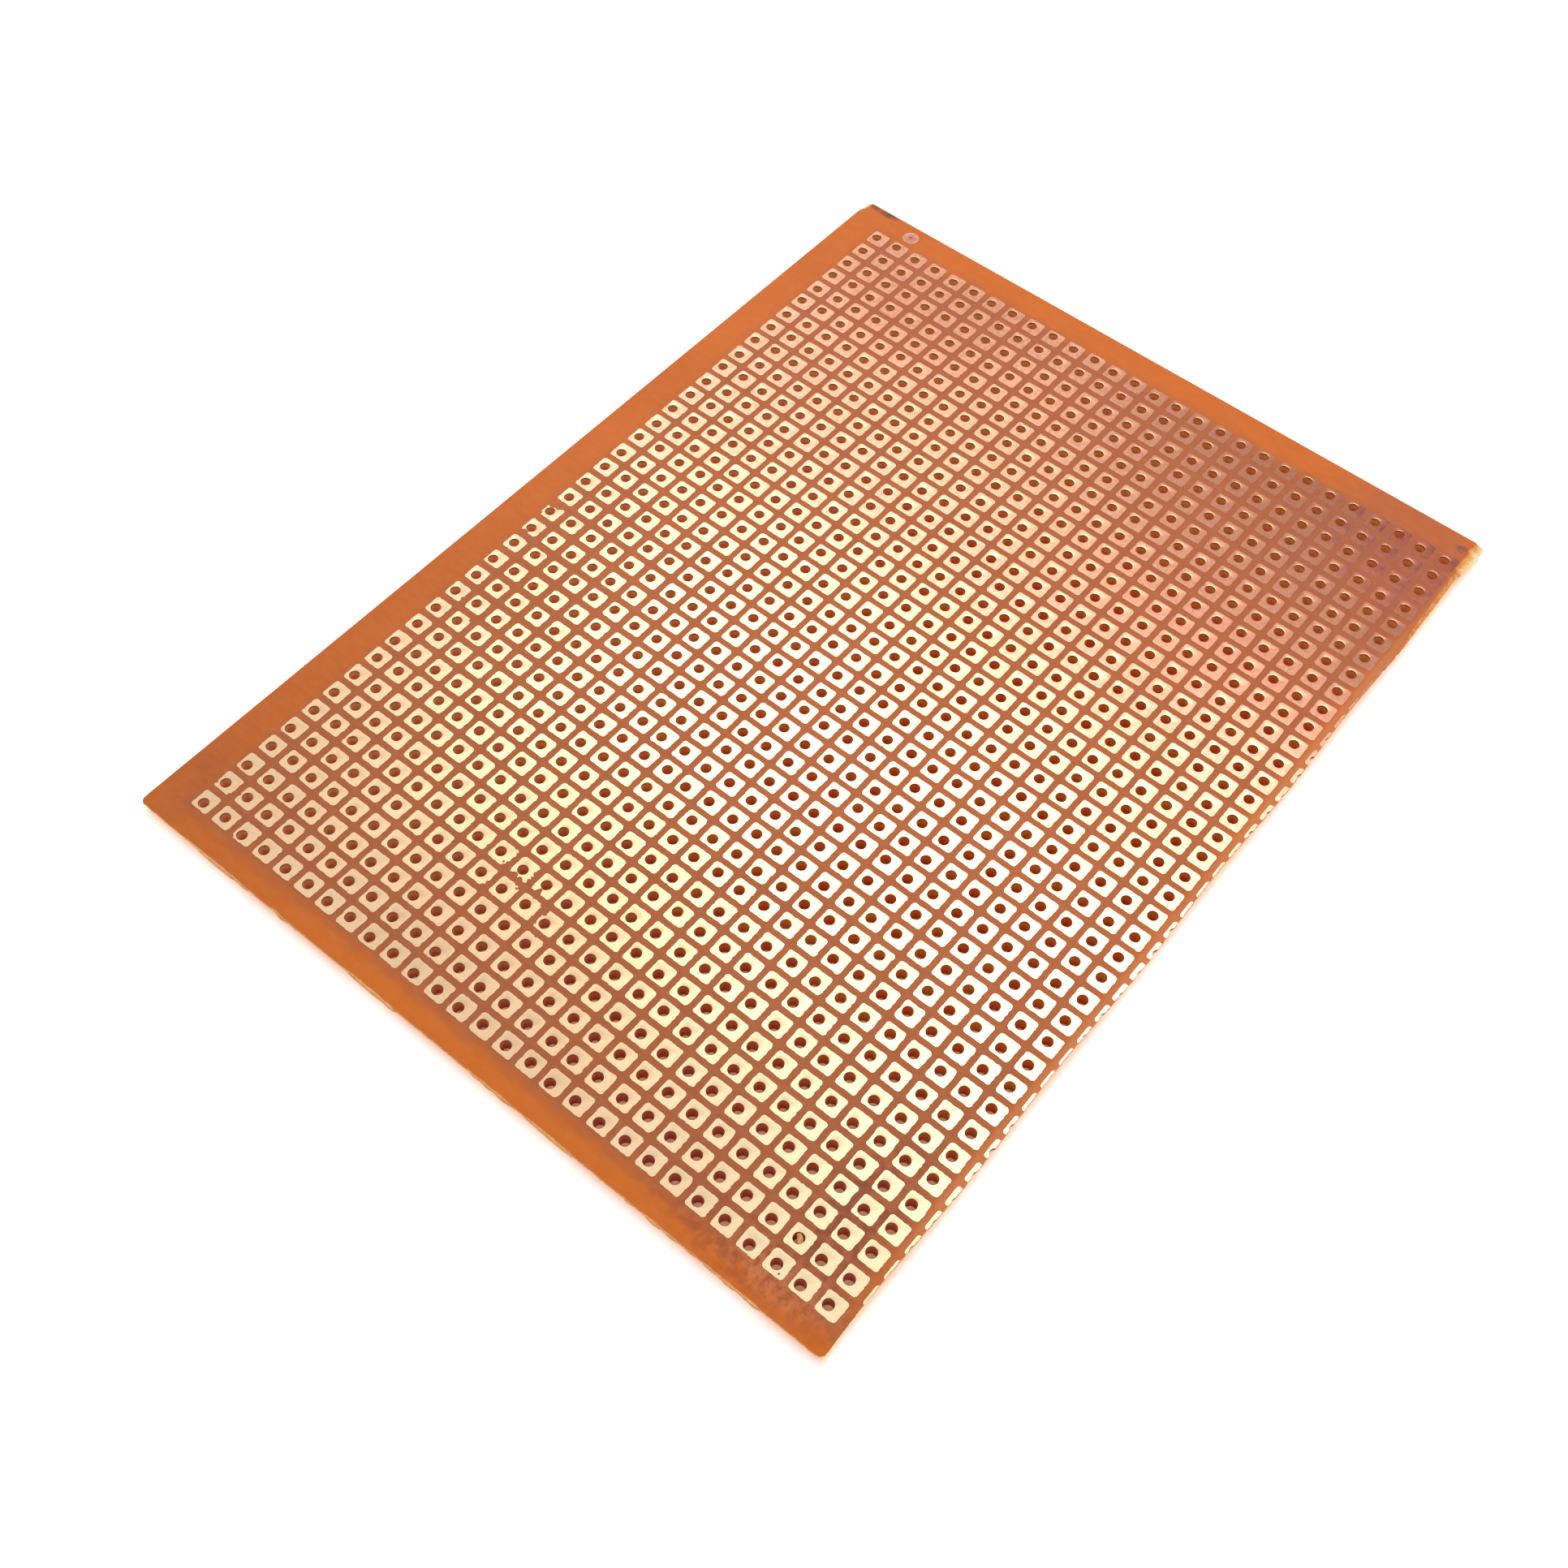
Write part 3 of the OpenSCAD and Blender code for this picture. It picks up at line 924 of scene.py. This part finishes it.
def copper_foil():
    """Bare rolled copper, bright but slightly mottled by handling and tarnish, with painted
    highlight and painted shade where the panel's reflection falls.
    """
    foil = Finish("copper_foil")
    x, y = foil.along["X"], foil.along["Y"]
    mottle = foil.grain(2.4, 4.0)
    fine = foil.grain(9.0, 3.0)
    colour = foil.mix(foil.step(foil.grain(0.12, 2.0), 0.4, 0.7), COPPER, COPPER_CLOUDED)

    # Painted highlight: the near end is paler and yellower for the panel's whitened reflection, and
    # tarnish and painted reflection lie in patches over it
    highlight_tint = foil.mix(foil.step(y, -8, -20), HIGHLIGHT_TINT, HIGHLIGHT_TINT_MIDDLE)
    highlight_tint = foil.mix(foil.step(y, -20, -32), highlight_tint, HIGHLIGHT_TINT_BY_CUT)
    colour = foil.mix(foil.times(foil.step(x, 0, -34), 0.9), colour, highlight_tint)
    for middle_x, middle_y, reach_x, reach_y, strength, shade in TARNISH_AND_SHEEN:
        share = foil.times(foil.patch(middle_x, middle_y, reach_x, reach_y), strength)
        colour = foil.mix(share, colour, rgb(*shade))
    blotches = foil.times(foil.step(mottle, 0.38, 0.66), foil.step(x, -10, 20, 0.25, 0.9))
    colour = foil.mix(blotches, colour, BLOTCHED, "MULTIPLY")

    # The lower side of every pad at the far sawn corner is painted a purple-grey shade, for foil
    # that the drill bent so that it mirrors a darker part of the room
    cell = foil.parts(foil.in_cell())
    lower = foil.number("MULTIPLY_ADD", cell["X"], -0.4, cell["Y"])
    lower = foil.plus(lower, foil.step(foil.grain(0.9, 2.0), 0.3, 0.7, -0.25, 0.25))
    bent_foil_shade = foil.times(foil.step(lower, 0.35, -0.25), foil.patch(*BENT_FOIL_SHADE_CORNER))
    colour = foil.mix(bent_foil_shade, colour, BENT_FOIL_SHADE)
    rougher = foil.plus(foil.step(mottle, 0.3, 0.7, 0.235, 0.262),
                        foil.step(fine, 0.3, 0.7, -0.008, 0.014))
    foil.set(Base_Color=colour, Metallic=1.0, Roughness=rougher)
    foil.bump(foil.plus(mottle, foil.times(fine, 0.2)), 0.14, 0.015)
    return foil.material


# Painted shade: the etched side is darker than its oxide alone, which outlines every pad
SIDE_BROWN, SIDE_TAN, SIDE_FAR = rgb(146, 94, 62), rgb(172, 114, 78), rgb(188, 122, 90)


def etched_side():
    """The sloping side that the etch left on the foil: dull brown oxide, darkened further as
    painted shade for the dark outline round each pad, which fades towards the far end.
    """
    side = Finish("etched_side")
    colour = side.mix(side.grain(2.5), SIDE_BROWN, SIDE_TAN)
    colour = side.mix(side.step(side.along["X"], 15, 35, 0.0, 0.6), colour, SIDE_FAR)
    side.set(Base_Color=colour, Metallic=0.0, Roughness=0.7, Specular_IOR_Level=0.2)
    return side.material


copper = [copper_foil(), etched_side()]
for row in range(1, rows + 1):
    points, faces = [], []
    for column in range(1, columns + 1):
        outer = ragged_outline(column, row, pad_width(column, row) + 2 * FOOT)
        etched_ring(points, faces, outer, hole_middle(column, row), HOLE_D / 2, RIM_DROP)
    node = f"pad_row_{row:02d}"
    pads = solid(f"copper_{node}", points, faces, copper, crease=FOIL_CREASE)
    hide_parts(node)
    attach(pads, "root")


# ---------------------------------------------------------------- strips along the cut
# Where the saw ran through a row of pads it left the top of each pad standing: a low strip
# of foil with two soft corners and a ragged lower side, scalloped by its old lead hole.
STRIP_STEPS = 18
STRIP_END = 0.04         # a strip ends this far inside its pad's width
STRIP_BACK = 0.03        # it keeps this far back from the cut
STRIP_RAGGED = 0.05
LEAST_STRIP = 0.03
strips_low, strips_high = (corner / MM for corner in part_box("cut_pad_row"))
first_strip = round((strips_low.x + pad_w / 2 - pad_x(1)) / pitch) + 1
last_strip = round((strips_high.x - pad_w / 2 - pad_x(1)) / pitch) + 1


def strip_top(x):
    """Upper side of a strip at x from its middle, measured from the row's middle."""
    beyond = abs(x) - (pad_w / 2 - PAD_R)
    if beyond <= 0:
        return pad_w / 2
    return pad_w / 2 - PAD_R + math.sqrt(max(PAD_R * PAD_R - beyond * beyond, 0.0))


def strip_section(column, share):
    """Foot and top of a strip's lower side, then top and foot of its upper side."""
    across = (pad_w / 2 - STRIP_END) * share
    x = pad_x(column) + across
    high = pad_y(rows + 1) + strip_top(across) + FOOT + 0.02 * rough(x * 4, 1.0) - 0.01
    low = sawn_y(x) + STRIP_BACK + STRIP_RAGGED * abs(rough(x * 5, 4.0))
    low = min(low, high - LEAST_STRIP)
    inset = min(FOOT, 0.3 * (high - low))
    return (Vector((x, low, foil_foot)), Vector((x, low + 0.1 * inset, foil_top)),
            Vector((x, high - inset, foil_top)), Vector((x, high, foil_foot)))


points, faces = [], []
for column in range(first_strip, last_strip + 1):
    start = len(points)
    for index in range(STRIP_STEPS + 1):
        points += strip_section(column, 2 * index / STRIP_STEPS - 1)
    for index in range(STRIP_STEPS):
        for corner in range(4):
            after = (corner + 1) % 4
            here = start + index * 4
            faces.append(((here + corner, here + 4 + corner, here + 4 + after, here + after),
                          FOIL if corner == 1 else ETCHED))
    last = start + STRIP_STEPS * 4
    faces.append(((start, start + 1, start + 2, start + 3), ETCHED))
    faces.append(((last + 3, last + 2, last + 1, last), ETCHED))
strips = solid("copper_cut_pad_row", points, faces, copper, crease=FOIL_CREASE)
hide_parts("cut_pad_row")
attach(strips, "root")


# ---------------------------------------------------------------- register mark
# A round spot of foil beside the second row, with a bare eye etched in its middle, that the
# maker lined the drilling up with. It was never drilled.
MARK_EYE_D = 0.45
MARK_EYE_DROP = 0.004    # of the foil round the eye
MARK_SIDES = 32
MARK_INSET = 0.015       # keeps its ragged rim inside its true width
MARK_RAGGED = 0.02       # as a share of its radius
mark_r = (mark_high.x - mark_low.x) / 2
points, faces = [], []
rim = []
for spot in circle_points(mark_middle, mark_r - MARK_INSET, MARK_SIDES):
    rim.append(spot + (spot - mark_middle) * MARK_RAGGED * rough(spot.x * 4, spot.y * 4))
etched_ring(points, faces, rim, mark_middle, MARK_EYE_D / 2, MARK_EYE_DROP)
mark = solid("copper_register_mark", points, faces, copper, crease=FOIL_CREASE)
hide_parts("register_mark")
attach(mark, "root")


# ---------------------------------------------------------------- floor and light
# A white table under soft light: an even white room, one large soft panel beyond the board
# whose reflection whitens the middle pads, and a brown card beyond the far end. All sizes
# in this section are in metres.
FLOOR_SIZE = 1.2
FLOOR_DROP = 0.00002       # under the board, so that their faces don't meet
FLOOR_GLOW = 0.42
FLOOR_WHITE, FLOOR_WHITER = (0.93, 0.93, 0.93, 1), (0.96, 0.96, 0.96, 1)
# Painted light: under the board and along its edge the table is tinted and glows warm, for light
# tinted by the board, which gives a warm contact shadow
UNDER_BOARD_PAINTED_TAN, UNDER_BOARD_PAINTED_GLOW = (0.8, 0.56, 0.44, 1), (0.58, 0.29, 0.16, 1)
ROOM_LIGHT = 0.82
PANEL_SIZE = (0.76, 0.19)  # along the board's short side, then along its long side
PANEL_PLACE = (0.316, 0.01, 0.60)
PANEL_GLOW = 3.26
CARD_X = 0.683
CARD_Y = (-0.338, 0.30)
CARD_TOP = 1.08
CARD_BROWN = (0.25, 0.1, 0.08, 1)
WHITE = (1, 1, 1, 1)


def bright_to_eyes(tree, plain, bright):
    """Plain where light falls on the scene, bright to the camera, gloss and glass."""
    path = tree.nodes.new("ShaderNodeLightPath").outputs
    seen = path["Is Camera Ray"]
    for ray in ("Is Glossy Ray", "Is Transmission Ray"):
        most = tree.nodes.new("ShaderNodeMath")
        most.operation = "MAXIMUM"
        tree.links.new(seen, most.inputs[0])
        tree.links.new(path[ray], most.inputs[1])
        seen = most.outputs[0]
    level = tree.nodes.new("ShaderNodeMapRange")
    tree.links.new(seen, level.inputs["Value"])
    level.inputs["To Min"].default_value = plain
    level.inputs["To Max"].default_value = bright
    return level.outputs[0]


world = bpy.data.worlds.new("white_room")
world.use_nodes = True
bpy.context.scene.world = world
background = world.node_tree.nodes["Background"]
background.inputs["Color"].default_value = WHITE
world.node_tree.links.new(bright_to_eyes(world.node_tree, ROOM_LIGHT, 1.0),
                          background.inputs["Strength"])


def flat_card(name, middle, across, up, finish):
    """A flat card from its middle and its two half sides, in metres."""
    middle, across, up = Vector(middle), Vector(across), Vector(up)
    mesh = bpy.data.meshes.new(name)
    mesh.from_pydata([middle - across - up, middle + across - up, middle + across + up,
                      middle - across + up], [], [(0, 1, 2, 3)])
    mesh.materials.append(finish)
    card = bpy.data.objects.new(name, mesh)
    bpy.context.scene.collection.objects.link(card)
    return card


def white_table():
    """White and bright to the eye, but under the board a painted warm tan and glow for light tinted
    by the red hole walls, seen through its holes.
    """
    table = Finish("white_table")
    white = table.mix(table.grain(0.05, 2.0), FLOOR_WHITE, FLOOR_WHITER)
    open_floor = table.step(table.beyond(0, 0, board_high.x, board_high.y), -1.0, 0.6)
    table.set(Base_Color=table.mix(open_floor, UNDER_BOARD_PAINTED_TAN, white),
              Roughness=0.9, Specular_IOR_Level=0.0,
              Emission_Color=table.mix(open_floor, UNDER_BOARD_PAINTED_GLOW, WHITE),
              Emission_Strength=bright_to_eyes(table.tree, 0.0, FLOOR_GLOW))
    return table.material


flat_card("floor", (0, 0, -FLOOR_DROP), (FLOOR_SIZE / 2, 0, 0), (0, FLOOR_SIZE / 2, 0),
          white_table())

panel = bpy.data.objects.new("soft_panel", bpy.data.lights.new("soft_panel", "AREA"))
panel.data.shape = "RECTANGLE"
panel.data.size, panel.data.size_y = PANEL_SIZE
panel.data.energy = PANEL_GLOW * math.pi * PANEL_SIZE[0] * PANEL_SIZE[1]
panel.location = PANEL_PLACE
panel.rotation_euler = (-Vector(PANEL_PLACE)).to_track_quat("-Z", "Y").to_euler()
bpy.context.scene.collection.objects.link(panel)

brown = Finish("brown_card")
brown.set(Base_Color=CARD_BROWN, Roughness=0.9, Specular_IOR_Level=0.0)
card = flat_card("brown_card", (CARD_X, (CARD_Y[0] + CARD_Y[1]) / 2, CARD_TOP / 2),
                 (0, (CARD_Y[1] - CARD_Y[0]) / 2, 0), (0, 0, CARD_TOP / 2), brown.material)
card.visible_camera = False
